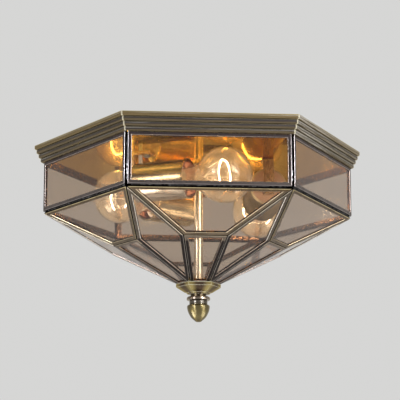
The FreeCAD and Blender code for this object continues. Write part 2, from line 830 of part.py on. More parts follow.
def bulb_stem():
    """Glass stem inside the bulb, from the end of the neck to the filament's wires."""
    foot = bulb_cap_front - bulb_neck_in_cap
    top = foot + stem_length
    flare_radius = bulb_neck_radius - bulb_glass - stem_play
    flare = flare_radius - stem_radius
    return lamp_turned([(foot, 0),
                        (foot, flare_radius),
                        (on_circle(foot + flare, flare_radius, flare, half_turn + right_angle / 2),
                         (foot + flare, stem_radius)),
                        (top - stem_radius, stem_radius),
                        (on_circle(top - stem_radius, 0, stem_radius, right_angle / 2), (top, 0))])


def wire_between(start, end, radius):
    """A straight round wire."""
    return Part.makeCylinder(radius, (end - start).Length, start, end - start)


def bulb_filament():
    """Filament bent to an open loop across the bulb, on its lead and support wires."""
    stem_top = bulb_cap_front - bulb_neck_in_cap + stem_length
    centre = Vector(bulb_centre, -lamp_offset, lamp_axis_level)
    hub = Vector(stem_top - stem_radius, -lamp_offset, lamp_axis_level)
    axis = Vector(1, 0, 0)
    ring = Part.Wire(Part.makeCircle(filament_radius, centre + up * filament_loop_radius, across_lamp))
    loop = Part.Face(ring).revolve(centre, axis, filament_arc)
    pieces = []
    for index in range(support_wire_count + 2):
        turn = FreeCAD.Rotation(axis, filament_arc * index / (support_wire_count + 1))
        end = centre + turn.multVec(up) * filament_loop_radius
        pieces.append(wire_between(hub, end, lead_wire_radius))
    filament = loop.multiFuse(pieces).cut(bulb_stem())
    return filament.rotate(centre, axis, -filament_arc / 2).Solids[0]


def bulb_cap():
    """Screw cap of the bulb: a thin shell with rolled rounds, an insulator and a contact."""
    low = bulb_cap_radius - bulb_thread_depth
    steps = [(bulb_tail, 0),
             (bulb_tail, bulb_contact_radius),
             (bulb_tail + bulb_contact_height, bulb_contact_radius),
             (bulb_thread_start, low)]
    for turn in range(bulb_thread_turns):
        start = bulb_thread_start + bulb_thread_pitch * turn
        steps.append(((start + bulb_thread_pitch / 2, bulb_cap_radius), (start + bulb_thread_pitch, low)))
    steps += [(bulb_cap_front, low),
              (bulb_cap_front, bulb_cap_bore),
              (bulb_thread_start + bulb_cap_mouth, bulb_cap_bore),
              (bulb_thread_start + bulb_cap_mouth, 0)]
    return lamp_turned(steps)


def lead_hole_centre(lamp):
    """Where a lead passes the pan, before its lamp is turned to its azimuth."""
    return swivelled_point(Vector(lead_along_axis, -lamp_offset, 0), lamp)


def lamp_lead(lamp):
    """Sleeved lead from the holder, up through sleeve, strip and pan, to its connector."""
    lead_height = lamp_axis_level + lead_above_axis
    foot = Vector(holder_back, -lamp_offset, lead_height)
    foot = swivelled_point(drooped_point(foot, lamp), lamp)
    low_corner = Vector(lead_along_axis, -lamp_offset, lead_height)
    low_corner = swivelled_point(drooped_point(low_corner, lamp), lamp)
    high_corner = lead_hole_centre(lamp) + up * lead_level
    reach = math.hypot(high_corner.x, high_corner.y)
    end = high_corner + toward_rod(lamp) * (reach - connector_reach)
    bend = (foot - low_corner).Length * lead_bend_share
    low_arc = rounded_corner(foot, low_corner, high_corner, bend)
    high_arc = rounded_corner(low_corner, high_corner, end, bend)
    low_start, low_end = low_arc.Vertexes[0].Point, low_arc.Vertexes[-1].Point
    high_start, high_end = high_arc.Vertexes[0].Point, high_arc.Vertexes[-1].Point
    path = Part.Wire([Part.makeLine(foot, low_start), low_arc, Part.makeLine(low_end, high_start),
                      high_arc, Part.makeLine(high_end, end)])
    section = Part.Wire(Part.makeCircle(lead_radius, foot, low_corner - foot))
    return path.makePipeShell([section], True, False).rotate(origin, up, lamp_azimuth(lamp))


def rounded_corner(before, corner, after, radius):
    """The arc that rounds the corner of a path."""
    toward_before = (before - corner).normalize()
    toward_after = (after - corner).normalize()
    half = toward_before.getAngle(toward_after) / 2
    reach = radius / math.tan(half)
    middle = corner + (toward_before + toward_after).normalize() * (radius / math.sin(half) - radius)
    return Part.Arc(corner + toward_before * reach, middle, corner + toward_after * reach).toShape()


def toward_rod(lamp):
    """The level direction from a lead's hole to the rod, before the lamp is turned."""
    return -lead_hole_centre(lamp).normalize()


def lead_connector(lamp):
    """Ceramic connector on the pan, where a lead meets the supply."""
    inward = toward_rod(lamp)
    across = up.cross(inward)
    start = -inward * connector_reach - across * (connector_width / 2) + up * pan_topside
    block = polygon_prism([start, start + across * connector_width,
                           start + across * connector_width + inward * connector_length,
                           start + inward * connector_length], up * connector_height)
    return block.rotate(origin, up, lamp_azimuth(lamp))


# Small screws

def raised_head_screw(place, seat, tip):
    """A screw with its rounded head under a seat and its shank up to a tip."""
    edge = screw_head_radius - screw_head_round
    low = seat - screw_head_height
    head = turned([(0, seat),
                   (screw_head_radius, seat),
                   (screw_head_radius, low + screw_head_round),
                   (on_circle(edge, low + screw_head_round, screw_head_round, -right_angle / 2),
                    (edge, low)),
                   (0, low)])
    return head.fuse(cylinder(screw_radius, seat, tip)).removeSplitter().translate(place).Solids[0]


def pan_screws():
    """Screws and nuts that hold the lamps' strips to the pan, and the earth screw on the strap."""
    nut_top = pan_topside + screw_nut_height
    pieces = []
    for lamp in range(lamp_count):
        screw = raised_head_screw(foot_screw, strip_foot_underside, nut_top + screw_past_nut)
        nut = hex_nut(screw_nut_across_flats, pan_topside, nut_top, screw_radius + rod_play)
        pieces += [swivelled(screw, lamp), swivelled(nut.translate(foot_screw), lamp)]
    earth_place = Vector(earth_screw_place, 0, 0)
    pieces.append(raised_head_screw(earth_place, -strap_drop - strap_thickness,
                                    -strap_drop + screw_past_nut))
    return pieces


# Files

for index in range(side_count):
    number = str(index + 1)
    write("side_pane_" + number, glass_pane(side_facet(index)))
    write("upper_pane_" + number, glass_pane(upper_facet(index)))
    write("kite_pane_" + number, glass_pane(kite_facet(index)))
    write("lower_pane_" + number, glass_pane(lower_facet(index)))

for frame_name, facet in (("side_frames", side_facet), ("upper_frames", upper_facet),
                          ("kite_frames", kite_facet), ("lower_frames", lower_facet)):
    bars = []
    for index in range(side_count):
        bars += channel_frame(facet(index))
    write(frame_name, bars)

write("solder_seams", solder_seams())
write("cage_cap", cage_cap())
write("finial_washer", finial_washer())
write("finial_knob", finial_knob())
write("ceiling_pan", ceiling_pan())
write("cornice", cornice())
write("ceiling_strap", ceiling_strap())
write("centre_rod", centre_rod())
write("rod_nuts", rod_nuts())
write("pan_screws", pan_screws())

for lamp in range(lamp_count):
    number = str(lamp + 1)
    write("lamp_strip_" + number, swivelled(lamp_strip(lamp), lamp))
    write("lamp_sleeve_" + number, set_in_place(lamp_sleeve(), lamp))
    write("lamp_holder_" + number, set_in_place(lamp_holder(), lamp))
    write("bulb_cap_" + number, set_in_place(bulb_cap(), lamp))
    write("bulb_glass_" + number, [set_in_place(piece, lamp) for piece in (bulb_envelope(), bulb_stem())])
    write("bulb_filament_" + number, set_in_place(bulb_filament(), lamp))

lamps = range(lamp_count)
write("lamp_fixings", [set_in_place(piece, lamp) for lamp in lamps for piece in lamp_fixings()])
write("holder_contacts", [set_in_place(piece, lamp) for lamp in lamps for piece in holder_contacts()])
write("lamp_leads", [lamp_lead(lamp) for lamp in lamps])
write("lead_connectors", [lead_connector(lamp) for lamp in lamps])
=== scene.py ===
import json
import math

import bmesh
import bpy
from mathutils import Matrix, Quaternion, Vector
from mathutils import noise as value_noise


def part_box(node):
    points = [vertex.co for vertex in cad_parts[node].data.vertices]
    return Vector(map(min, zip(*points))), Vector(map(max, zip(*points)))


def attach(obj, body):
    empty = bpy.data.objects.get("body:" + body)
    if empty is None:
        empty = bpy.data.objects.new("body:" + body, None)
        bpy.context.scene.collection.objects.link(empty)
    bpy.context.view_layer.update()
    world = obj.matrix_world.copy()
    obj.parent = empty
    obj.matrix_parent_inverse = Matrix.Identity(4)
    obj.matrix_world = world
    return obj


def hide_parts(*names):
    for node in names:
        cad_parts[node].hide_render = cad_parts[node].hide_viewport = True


# Looks of a hexagonal brass ceiling lantern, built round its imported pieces. Metres, +Z up.
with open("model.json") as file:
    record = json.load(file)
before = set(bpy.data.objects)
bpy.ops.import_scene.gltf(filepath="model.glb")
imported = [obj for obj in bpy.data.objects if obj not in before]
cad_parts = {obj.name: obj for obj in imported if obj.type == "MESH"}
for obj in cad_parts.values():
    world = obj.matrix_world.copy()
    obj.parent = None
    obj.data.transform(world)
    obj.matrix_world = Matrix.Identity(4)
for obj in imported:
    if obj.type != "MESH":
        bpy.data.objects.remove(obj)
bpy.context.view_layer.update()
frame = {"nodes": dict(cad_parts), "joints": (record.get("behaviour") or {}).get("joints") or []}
nodes = frame["nodes"]

side_count = 6
lamp_count = 3
sector = 2 * math.pi / side_count
millimetre = 0.001
upright = (0, 0, 1)

# Places that the finishes follow
reed_count = 4
bar_drop = 4.5 * millimetre
level_blend = 0.8 * millimetre
cap_neck_height = 2.4 * millimetre
knob_collar_height = 4.4 * millimetre
shade_blend = 0.3 * millimetre
lining_blend = 2.0 * millimetre
cornice_edge_radius = 0.5 * millimetre
mitre_highlight_start = 0.3 * millimetre
mitre_highlight_end = 1.4 * millimetre

# Looks: the share of a metal's colour that the studio shows, how far a noise pattern mostly reaches,
# how far the rounded normal turns at an edge, and how much brushing draws a pattern out
studio_level = 0.74
noise_range = (0.3, 0.7)
bevel_samples = 6
edge_turns = (0.006, 0.1)
brush_stretch = 0.97

# Filament: a fine coil on its holding wires
filament_strength = 260.0
# The bulb glass and the holding wires glow faintly: painted light.
bulb_glow = 0.06
wire_glow = 1.5
filament_arc = 290.0
filament_wires = 6
filament_wire = 0.45 * millimetre
filament_sag = 0.9 * millimetre
coil_radius = 0.7 * millimetre
coil_wire = 0.24 * millimetre
coil_wire_sides = 5
coil_pitch = 0.85 * millimetre
coil_points = 9
holding_wire = 0.3 * millimetre
holding_wire_sides = 8
wire_in_stem = 1.0 * millimetre
wire_bow = 1.5 * millimetre
wire_bend_share = 0.82
wire_steps = 10

# Solder in the grooves between the frames
object_middle = -80.0 * millimetre
weld_distance = 0.01 * millimetre
bead_step = 0.7 * millimetre
bead_taper = 3.0 * millimetre
bead_tip_share = 0.02
bead_fan = 6
bead_fill_share = 0.78
lump_share = 0.2
lump_scale = 320.0
fine_lump_share = 0.08
fine_lump_ratio = 3.1


# Node tree helpers

def new_material(name):
    """A material with an empty node tree, and its output."""
    material = bpy.data.materials.new(name)
    material.use_nodes = True
    tree = material.node_tree
    tree.nodes.clear()
    return material, tree, tree.nodes.new("ShaderNodeOutputMaterial")


def put(socket, value):
    """Set a socket to a plain value, or link it to another socket."""
    if isinstance(value, bpy.types.NodeSocket):
        socket.id_data.links.new(value, socket)
    elif isinstance(value, tuple) and len(value) == 3 and socket.type == "RGBA":
        socket.default_value = (*value, 1.0)
    else:
        socket.default_value = value


def math_node(tree, operation, *values):
    """A Math node, with zero for the values that aren't given."""
    node = tree.nodes.new("ShaderNodeMath")
    node.operation = operation
    for index, socket in enumerate(node.inputs):
        put(socket, values[index] if index < len(values) else 0.0)
    return node.outputs[0]


def product(tree, first, *others):
    """The product of two or more values."""
    for other in others:
        first = math_node(tree, "MULTIPLY", first, other)
    return first


def weighted_sum(tree, *pairs):
    """The sum of values times their weights."""
    total = 0.0
    for value, weight in pairs:
        total = math_node(tree, "ADD", total, product(tree, value, weight))
    return total


def remap(tree, value, low, high, to_low=0.0, to_high=1.0):
    """A smooth step from one range to another."""
    node = tree.nodes.new("ShaderNodeMapRange")
    node.interpolation_type = "SMOOTHSTEP"
    put(node.inputs["Value"], value)
    put(node.inputs["From Min"], low)
    put(node.inputs["From Max"], high)
    put(node.inputs["To Min"], to_low)
    put(node.inputs["To Max"], to_high)
    return node.outputs[0]


def band(tree, value, rise_start, rise_end, fall_start, fall_end):
    """One between rise_end and fall_start, falling off smoothly on both sides."""
    return product(tree, remap(tree, value, rise_start, rise_end), remap(tree, value, fall_end, fall_start))


def mix_colour(tree, factor, first, second):
    node = tree.nodes.new("ShaderNodeMix")
    node.data_type = "RGBA"
    put(node.inputs[0], factor)
    put(node.inputs[6], first)
    put(node.inputs[7], second)
    return node.outputs[2]


def noise(tree, vector, scale, detail=3.0, roughness=0.55):
    node = tree.nodes.new("ShaderNodeTexNoise")
    put(node.inputs["Vector"], vector)
    put(node.inputs["Scale"], scale)
    put(node.inputs["Detail"], detail)
    put(node.inputs["Roughness"], roughness)
    return node.outputs["Fac"]


def bump(tree, height, strength, distance):
    node = tree.nodes.new("ShaderNodeBump")
    put(node.inputs["Height"], height)
    put(node.inputs["Strength"], strength)
    put(node.inputs["Distance"], distance)
    return node.outputs[0]


def split(tree, vector):
    node = tree.nodes.new("ShaderNodeSeparateXYZ")
    put(node.inputs[0], vector)
    return node.outputs


def join(tree, x, y, z):
    node = tree.nodes.new("ShaderNodeCombineXYZ")
    for socket, value in zip(node.inputs, (x, y, z)):
        put(socket, value)
    return node.outputs[0]


def vector_node(tree, operation, *vectors):
    """A Vector Math node. Its first output is a vector, and the one named Value is a number."""
    node = tree.nodes.new("ShaderNodeVectorMath")
    node.operation = operation
    for socket, vector in zip(node.inputs, vectors):
        put(socket, vector)
    return node


def dot_product(tree, first, second):
    return vector_node(tree, "DOT_PRODUCT", first, second).outputs["Value"]


def turned_about_z(tree, vector, angle):
    node = tree.nodes.new("ShaderNodeVectorRotate")
    node.rotation_type = "Z_AXIS"
    put(node.inputs["Vector"], vector)
    put(node.inputs["Angle"], angle)
    return node.outputs[0]


def principled(tree, output, **values):
    """A Principled shader with the named inputs, joined to the output."""
    shader = tree.nodes.new("ShaderNodeBsdfPrincipled")
    for name, value in values.items():
        put(shader.inputs[name.replace("_", " ")], value)
    tree.links.new(shader.outputs[0], output.inputs[0])
    return shader


# Places on the object

def object_place(tree):
    """The place on the object, in metres."""
    return tree.nodes.new("ShaderNodeTexCoord").outputs["Object"]


def object_normal(tree):
    return tree.nodes.new("ShaderNodeTexCoord").outputs["Normal"]


def folded_angle(tree, vector, middle):
    """The angle round Z from the nearest of six directions, the first of them at middle."""
    x, y, _ = split(tree, vector)
    angle = math_node(tree, "ARCTAN2", y, x)
    shifted = math_node(tree, "SUBTRACT", angle, middle - sector / 2)
    wrapped = math_node(tree, "WRAP", shifted, sector)
    return math_node(tree, "SUBTRACT", wrapped, sector / 2)


def side_place(tree):
    """The place on one side of the hexagon: out from the middle, along the side, and the height."""
    place = object_place(tree)
    x, y, z = split(tree, place)
    reach = math_node(tree, "SQRT", math_node(tree, "ADD", product(tree, x, x), product(tree, y, y)))
    angle = folded_angle(tree, place, sector / 2)
    out = product(tree, reach, math_node(tree, "COSINE", angle))
    along = product(tree, reach, math_node(tree, "SINE", angle))
    return out, along, z


def mitre_place(tree, out, along):
    """Half the side's length at a distance out, and how far a point of the side is from the mitre."""
    half_side = product(tree, out, math.tan(sector / 2))
    return half_side, math_node(tree, "SUBTRACT", half_side, math_node(tree, "ABSOLUTE", along))


# Callers use this for wear, for painted highlights and for painted shade at edges.
def near_sharp_edge(tree, radius):
    """How near a sharp edge a point lies: the rounded normal turns away from the flat one there."""
    rounded = tree.nodes.new("ShaderNodeBevel")
    rounded.samples = bevel_samples
    put(rounded.inputs["Radius"], radius)
    flat = tree.nodes.new("ShaderNodeNewGeometry").outputs["Normal"]
    turned = math_node(tree, "SUBTRACT", 1.0, dot_product(tree, rounded.outputs[0], flat))
    return remap(tree, turned, *edge_turns)


def inside_of(tree, place, core, axis):
    """One on surfaces that face an axis through the point core, zero on those that face away."""
    offset = vector_node(tree, "SUBTRACT", place, tuple(core)).outputs[0]
    reach = dot_product(tree, offset, tuple(axis))
    along = vector_node(tree, "MULTIPLY", join(tree, reach, reach, reach), tuple(axis)).outputs[0]
    radial = vector_node(tree, "SUBTRACT", offset, along).outputs[0]
    facing = dot_product(tree, radial, object_normal(tree))
    return remap(tree, facing, lining_blend, -lining_blend)


# Metals

def shown(red, green, blue):
    """The base colour of a metal that looks like these display values in this pale studio. The
    numbers are those of the sRGB curve."""
    return tuple(((value + 0.055) / 1.055) ** 2.4 / studio_level for value in (red, green, blue))


def brushed_brass(name, dark, light, axis, roughness, edge=None, core=None, lining=None,
                  edge_radius=0.6 * millimetre, grain=0.12, underside=None):
    """Satin brass with fine lines along an axis, soft patches and, if given, an edge colour, a lining and a
    lighter underside.
    The lighter underside is a painted reflection. The edge colour is painted light on the rims: a highlight
    when bright, a shade when dark."""
    material, tree, output = new_material(name)
    place = object_place(tree)
    along = dot_product(tree, place, tuple(axis))
    pull = tuple(-brush_stretch * component for component in axis)
    drawn = vector_node(tree, "MULTIPLY_ADD", join(tree, along, along, along), pull, place).outputs[0]
    lines = noise(tree, drawn, scale=2200.0, detail=2.0)
    patches = noise(tree, place, scale=30.0, detail=2.0)
    factor = weighted_sum(tree, (lines, grain), (patches, 1.0 - grain))
    colour = mix_colour(tree, remap(tree, factor, 0.38, 0.62), dark, light)
    # Painted reflection: faces that point down get a lighter colour.
    if underside:
        _, _, normal_z = split(tree, object_normal(tree))
        colour = mix_colour(tree, remap(tree, normal_z, -0.4, -0.5), colour, underside)
    if lining:
        colour = mix_colour(tree, inside_of(tree, place, core, axis), colour, lining)
    # Painted light on the rims: a bright edge colour is a painted highlight, a dark one a painted shade.
    if edge:
        colour = mix_colour(tree, near_sharp_edge(tree, edge_radius), colour, edge)
    principled(tree, output, Base_Color=colour, Metallic=1.0,
               Roughness=remap(tree, lines, *noise_range, roughness + 0.04, roughness - 0.02),
               Normal=bump(tree, lines, strength=0.003, distance=0.2 * millimetre),
               Specular_Tint=(0.9, 0.78, 0.58))
    return material


def mirror_brass():
    """The pan's polished brass: nearly a mirror, with faint rolling lines and darker tarnish clouds.
    It is olive left of the middle, a painted reflection of what the pan mirrors there, and brown toward
    both ends, and its hidden top is dull."""
    tarnish, polish = (0.84, 0.54, 0.13), (0.99, 0.71, 0.24)
    olive, brown = (0.95, 0.83, 0.33), (0.56, 0.38, 0.2)
    dull_dark, dull_light = (0.4, 0.32, 0.19), (0.48, 0.39, 0.24)
    olive_places = [x * millimetre for x in (-110.0, -80.0, -60.0, -20.0)]
    brown_start, brown_end = 80.0 * millimetre, 120.0 * millimetre
    inward_start, inward_end = -50.0 * millimetre, -90.0 * millimetre
    line_stretch = 0.03
    material, tree, output = new_material("pan brass")
    out, along, height = side_place(tree)
    place = object_place(tree)
    long_way = join(tree, out, product(tree, along, line_stretch), height)
    lines = noise(tree, long_way, scale=300.0, detail=4.0)
    clouds = noise(tree, place, scale=14.0)
    scuffs = noise(tree, place, scale=2400.0, detail=1.0)
    factor = weighted_sum(tree, (lines, 0.3), (clouds, 0.7))
    colour = mix_colour(tree, remap(tree, factor, 0.36, 0.64), tarnish, polish)
    normal_x, normal_y, normal_z = split(tree, object_normal(tree))
    place_x, place_y, _ = split(tree, place)
    # Painted reflection: an olive band left of the middle.
    colour = mix_colour(tree, band(tree, place_x, *olive_places), colour, olive)
    sideways = math_node(tree, "ABSOLUTE", place_x)
    colour = mix_colour(tree, remap(tree, sideways, brown_start, brown_end, 0.0, 0.85), colour, brown)
    outward = weighted_sum(tree, (product(tree, normal_x, place_x), 1.0),
                           (product(tree, normal_y, place_y), 1.0))
    hidden = math_node(tree, "MAXIMUM", remap(tree, normal_z, 0.3, 0.6),
                       remap(tree, outward, inward_start, inward_end))
    dull = mix_colour(tree, remap(tree, lines, 0.35, 0.65), dull_dark, dull_light)
    colour = mix_colour(tree, hidden, colour, dull)
    gloss = remap(tree, scuffs, 0.5, 0.64, 0.04, 0.26)
    principled(tree, output, Base_Color=colour, Metallic=1.0,
               Roughness=math_node(tree, "MAXIMUM", gloss, product(tree, hidden, 0.42)),
               Normal=bump(tree, lines, strength=0.005, distance=0.4 * millimetre),
               Specular_Tint=(0.95, 0.72, 0.34))
    return material


def worn_brass(name, dark, light, edge, roughness, edge_radius, lacquer, turned=0.0, corner=None,
               shade_band=None):
    """Worn antique brass: dark in soft patches, bright along its edges with wear and painted highlight,
    with lathe lines if turned, and lighter toward the corners of its facets if a corner colour is given,
    with wear and a painted highlight on the edges between facets. A shade band is two heights between
    which it darkens as painted shade, how much, and the dark colour."""
    corner_reach = (0.8, 0.15)
    material, tree, output = new_material(name)
    place = object_place(tree)
    clouds = noise(tree, place, scale=70.0)
    specks = noise(tree, place, scale=900.0, detail=2.0)
    factor = weighted_sum(tree, (clouds, 0.85), (specks, 0.15))
    tangent = tree.nodes.new("ShaderNodeTangent")
    tangent.direction_type = "RADIAL"
    tangent.axis = "Z"
    colour = mix_colour(tree, remap(tree, factor, 0.36, 0.64), dark, light)
    # Wear and painted highlight: lighter toward the corners of the facets.
    if corner:
        out, along, _ = side_place(tree)
        half_side, from_corner = mitre_place(tree, out, along)
        reach = math_node(tree, "DIVIDE", from_corner, half_side)
        colour = mix_colour(tree, remap(tree, reach, *corner_reach), colour, corner)
    # Edges: wear and painted highlight.
    colour = mix_colour(tree, near_sharp_edge(tree, edge_radius), colour, edge)
    # Painted shade between two heights.
    if shade_band:
        start, end, share, shade = shade_band
        _, _, height = split(tree, place)
        colour = mix_colour(tree, remap(tree, height, start, end, 0.0, share), colour, shade)
    principled(tree, output, Base_Color=colour, Metallic=1.0,
               Roughness=remap(tree, clouds, *noise_range, roughness + 0.05, roughness - 0.03),
               Anisotropic=turned, Anisotropic_Rotation=0.25, Tangent=tangent.outputs[0],
               Coat_Weight=lacquer, Coat_Roughness=0.22,
               Normal=bump(tree, specks, strength=0.003, distance=0.3 * millimetre),
               Specular_Tint=(0.84, 0.77, 0.62))
    return material


def cornice_brass():
    """Antique brass on the cornice: the top reed olive, the others in painted shade above and in painted
    light on their round foot below. Painted highlights run along a glint line on each reed, the top edge
    and the mitres, and the sharp edges are bright with wear and painted highlight; the right-hand faces are
    painted lighter, with painted shade in their grooves, and a painted shadow lines the grooves between
    reeds.

    The fall is how many reeds a point lies below the top, and the share is its place on its reed,
    from zero at the top to one. Zones are bands of one of the two.
    """
    top_edge_zone, glint_zone = (-0.05, 0.02, 0.1, 0.2), (0.24, 0.3, 0.36, 0.42)
    side_groove_zone, gap_zone = (0.4, 0.48, 0.56, 0.66), (-0.1, 0.0, 0.09, 0.16)
    joint_zone = (0.98, 1.0, reed_count, reed_count + 0.1)
    streak_stretch, glint_stretch = 0.02, 0.006
    dark, lit_foot_brown = shown(0.25, 0.23, 0.23), shown(0.385, 0.34, 0.265)
    top_reed, top_edge_highlight = shown(0.445, 0.385, 0.275), shown(0.62, 0.57, 0.42)
    tarnish, glint = shown(0.16, 0.14, 0.13), shown(0.74, 0.72, 0.68)
    right_side_highlight, right_groove_shade_colour = shown(0.76, 0.74, 0.71), shown(0.2, 0.18, 0.17)
    groove_shadow_black, edge_wear_and_highlight = shown(0.07, 0.06, 0.055), shown(0.62, 0.58, 0.46)
    mitre_highlight = shown(0.84, 0.81, 0.72)
    material, tree, output = new_material("cornice antique brass")
    low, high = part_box("cornice")
    reed_height = (high.z - low.z) / reed_count
    out, along, height = side_place(tree)
    fall = math_node(tree, "DIVIDE", product(tree, height, -1.0), reed_height)
    share = math_node(tree, "FRACT", fall)
    long_way = join(tree, out, product(tree, along, streak_stretch), height)
    longer_way = join(tree, out, product(tree, along, glint_stretch), height)
    streaks = noise(tree, long_way, scale=1000.0, detail=4.0, roughness=0.6)
    broad = noise(tree, long_way, scale=240.0)
    shine = noise(tree, longer_way, scale=1400.0, detail=2.0)
    wander = product(tree, math_node(tree, "SUBTRACT", broad, 0.5), 1.1)
    # Painted light and shade on each reed: dark on its upper face, lighter on its round foot below.
    lit_foot = remap(tree, math_node(tree, "ADD", share, wander), 0.42, 0.72)
    colour = mix_colour(tree, lit_foot, dark, lit_foot_brown)
    colour = mix_colour(tree, remap(tree, fall, 1.05, 0.95), colour, top_reed)
    # Painted highlight along the top edge of the top reed.
    colour = mix_colour(tree, band(tree, fall, *top_edge_zone), colour, top_edge_highlight)
    colour = mix_colour(tree, remap(tree, streaks, 0.44, 0.32, 0.0, 0.55), colour, tarnish)
    line = product(tree, band(tree, share, *glint_zone), remap(tree, shine, 0.54, 0.62, 0.0, 0.75))
    colour = mix_colour(tree, line, colour, glint)
    # Painted light: the right-hand faces are lighter, most toward the front corner, in broken lines.
    normal_x, _, _ = split(tree, object_normal(tree))
    right_side = remap(tree, normal_x, 0.3, 0.7)
    _, place_y, _ = split(tree, object_place(tree))
    near_corner = remap(tree, place_y, low.y, 0.3 * low.y, 0.9, 0.3)
    right_side_light = product(tree, right_side, remap(tree, streaks, 0.42, 0.56), near_corner)
    colour = mix_colour(tree, right_side_light, colour, right_side_highlight)
    # Painted shade: a dark line in the grooves of the right-hand faces.
    right_groove_shade = product(tree, right_side, band(tree, share, *side_groove_zone),
                        remap(tree, fall, 0.9, 1.1, 0.25, 0.8))
    colour = mix_colour(tree, right_groove_shade, colour, right_groove_shade_colour)
    # Painted shadow: a dark line where one reed meets the next.
    groove_shadow = product(tree, band(tree, fall, *joint_zone), band(tree, share, *gap_zone))
    colour = mix_colour(tree, groove_shadow, colour, groove_shadow_black)
    # Edges: wear and painted highlight.
    colour = mix_colour(tree, near_sharp_edge(tree, cornice_edge_radius), colour, edge_wear_and_highlight)
    # Painted highlight along the mitres.
    _, from_mitre = mitre_place(tree, out, along)
    mitre_highlight_line = remap(tree, from_mitre, mitre_highlight_end, mitre_highlight_start, 0.0, 0.85)
    colour = mix_colour(tree, mitre_highlight_line, colour, mitre_highlight)
    principled(tree, output, Base_Color=colour, Metallic=1.0,
               Roughness=remap(tree, streaks, *noise_range, 0.36, 0.22),
               Normal=bump(tree, streaks, strength=0.08, distance=0.4 * millimetre),
               Specular_Tint=(0.9, 0.85, 0.75))
    return material


def pane_face(pane):
    """The outward direction and the middle of a flat pane, from its largest face."""
    mesh = nodes[pane].data
    widest = max(mesh.polygons, key=lambda polygon: polygon.area)
    normal = widest.normal.copy()
    if normal.dot(widest.center) < 0:
        normal = -normal
    return normal, widest.center.copy()


def frame_brass(name, pane, middle, level, above, below, wall):
    """Antique brass of the channel bars round one kind of pane.

    Place and normal are folded into one sector, where the pane faces +X. The tilt is the angle from
    the pane's direction. A surface that leans away from the pane's middle is on the groove side of
    its bar, and one that leans toward it is on the window side. above and below are the colours of
    face, painted groove-edge highlight and painted window-edge highlight over and under a level.
    wall is the shade of the bar's side in the window.
    """
    tarnish, groove_black, back = (0.01, 0.008, 0.007), (0.006, 0.005, 0.005), shown(0.42, 0.33, 0.26)
    groove_edge_tilts, window_edge_tilts = (14.0, 26.0, 44.0, 56.0), (8.0, 20.0, 64.0, 80.0)
    groove_tilts, window_tilts = (54.0, 66.0, 96.0, 110.0), (72.0, 84.0, 96.0, 110.0)
    back_tilts = (100.0, 140.0)
    material, tree, output = new_material(name)
    direction, centre = pane_face(pane)
    flat, steep = direction.z, math.hypot(direction.x, direction.y)
    place = object_place(tree)
    x, y, height = split(tree, place)
    angle = math_node(tree, "ARCTAN2", y, x)
    home = math_node(tree, "SUBTRACT", folded_angle(tree, place, middle), angle)
    normal_x, lean_along, normal_z = split(tree, turned_about_z(tree, object_normal(tree), home))
    place_x, along, place_z = split(tree, turned_about_z(tree, place, home))
    agreement = weighted_sum(tree, (normal_x, steep), (normal_z, flat))
    lean_up = weighted_sum(tree, (normal_x, -flat), (normal_z, steep))
    from_centre = math_node(tree, "SUBTRACT", place_x, math.hypot(centre.x, centre.y))
    rise = weighted_sum(tree, (from_centre, -flat), (math_node(tree, "SUBTRACT", place_z, centre.z), steep))
    lean_out = math_node(tree, "ADD", product(tree, lean_along, along), product(tree, lean_up, rise))
    agreement = math_node(tree, "MAXIMUM", math_node(tree, "MINIMUM", agreement, 1.0), -1.0)
    tilt = math_node(tree, "DEGREES", math_node(tree, "ARCCOSINE", agreement))
    groove_side = math_node(tree, "GREATER_THAN", lean_out)
    window_side = math_node(tree, "SUBTRACT", 1.0, groove_side)
    over = remap(tree, height, level - level_blend, level + level_blend)
    face, groove_edge_highlight, window_edge_highlight = [mix_colour(tree, over, *pair) for pair in zip(below, above)]
    clouds = noise(tree, place, scale=80.0)
    grain = noise(tree, place, scale=800.0, detail=2.0)
    shade = weighted_sum(tree, (clouds, 0.75), (grain, 0.25))
    colour = mix_colour(tree, remap(tree, shade, 0.38, 0.62, 0.35, 0.0), face, tarnish)
    # Painted highlights on the rounded edges, on the groove side and on the window side.
    bright = product(tree, band(tree, tilt, *groove_edge_tilts), groove_side,
                     remap(tree, clouds, 0.3, 0.55, 0.55, 1.0))
    colour = mix_colour(tree, bright, colour, groove_edge_highlight)
    rim = product(tree, band(tree, tilt, *window_edge_tilts), window_side,
                  remap(tree, grain, 0.3, 0.55, 0.6, 1.0))
    colour = mix_colour(tree, rim, colour, window_edge_highlight)
    deep = product(tree, band(tree, tilt, *groove_tilts), groove_side)
    colour = mix_colour(tree, deep, colour, groove_black)
    reveal = product(tree, band(tree, tilt, *window_tilts), window_side)
    colour = mix_colour(tree, reveal, colour, shown(*wall))
    colour = mix_colour(tree, remap(tree, tilt, *back_tilts), colour, back)
    principled(tree, output, Base_Color=colour, Metallic=1.0,
               Roughness=remap(tree, clouds, *noise_range, 0.32, 0.2),
               Normal=bump(tree, grain, strength=0.008, distance=0.3 * millimetre),
               Specular_Tint=(0.92, 0.88, 0.84))
    return material


